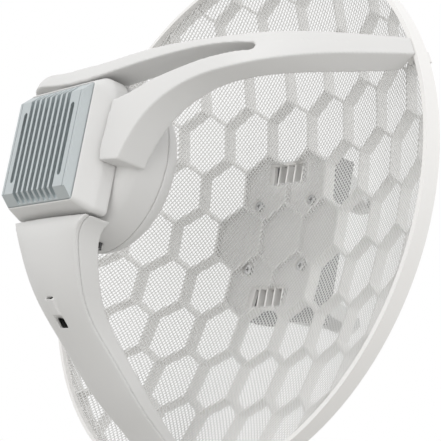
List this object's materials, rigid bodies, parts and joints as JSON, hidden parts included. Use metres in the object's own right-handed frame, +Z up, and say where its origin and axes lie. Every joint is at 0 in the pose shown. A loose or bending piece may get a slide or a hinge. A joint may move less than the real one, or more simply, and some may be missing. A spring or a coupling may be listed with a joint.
{
  "type": "parabolic grid antenna",
  "caption": "Round honeycomb grid reflector with a woven wire face, a three-armed feed support carrying a finned radio head, and a pole bracket with hose clamps.",
  "frame": {"origin": "on the pole's axis, level with the dish's axis, at the middle of the bracket", "axes": "+Z up along the pole; the dish looks towards -Y; +X to the right seen from in front of the dish"},
  "size_m": [0.391, 0.2944, 0.3924],
  "materials": {
    "shell_plastic": "fine moulded texture, off-white weatherproof plastic",
    "frame_plastic": "smooth moulded light grey plastic",
    "mesh_wire": "woven wire with a thin pale coating",
    "sink_metal": "bead-blasted and clear-coated aluminium",
    "bracket_plastic": "glass-filled grey plastic",
    "clamp_steel": "stainless strip and housings",
    "screw_steel": "zinc-plated screws",
    "board_laminate": "green solder mask",
    "chip_black": "moulded epoxy package",
    "pad_rubber": "soft grey silicone",
    "can_metal": "tin-plated sheet",
    "patch_metal": "plated copper faces",
    "socket_black": "moulded black plastic",
    "light_clear": "clear light guides",
    "button_plastic": "moulded black plastic"
  },
  "bodies": {
    "antenna": {"reflector_frame": "frame_plastic", "reflector_mesh": "mesh_wire", "mount_block": "bracket_plastic", "mount_screws": "screw_steel", "band_upper": "clamp_steel", "band_lower": "clamp_steel", "worm_housing_upper": "clamp_steel", "worm_housing_lower": "clamp_steel", "feed_tripod": "shell_plastic", "arm_screws": "screw_steel", "front_case": "shell_plastic", "heat_sink": "sink_metal", "sink_screws": "screw_steel", "radome": "shell_plastic", "hub_gasket": "pad_rubber", "main_board": "board_laminate", "board_posts": "bracket_plastic", "board_screws": "screw_steel", "radio_chip": "chip_black", "thermal_pad": "pad_rubber", "shield_can": "can_metal", "antenna_board": "board_laminate", "antenna_posts": "bracket_plastic", "patch_element": "patch_metal", "ground_disc": "patch_metal", "network_socket": "socket_black", "indicator_lights": "light_clear", "cable_grommet": "pad_rubber"},
    "cover": {"cable_cover": "shell_plastic"},
    "button": {"reset_button": "button_plastic"},
    "worm_upper": {"worm_screw_upper": "screw_steel"},
    "worm_lower": {"worm_screw_lower": "screw_steel"}
  },
  "joints": [
    {"name": "cover_release", "type": "slide", "parent": "antenna", "child": "cover", "axis": [0, -1, 0], "range_m": [0, 0.03]},
    {"name": "reset_press", "type": "slide", "parent": "antenna", "child": "button", "axis": [0, 0, 1], "range_m": [0, 0.0008], "stiffness_N_per_m": 600, "springref_m": -0.0003},
    {"name": "worm_turn_upper", "type": "hinge", "parent": "antenna", "child": "worm_upper", "pos_m": [0, 0.0316, 0.04725], "axis": [1, 0, 0], "continuous": true},
    {"name": "worm_turn_lower", "type": "hinge", "parent": "antenna", "child": "worm_lower", "pos_m": [0, 0.0316, -0.04725], "axis": [1, 0, 0], "continuous": true}
  ]
}
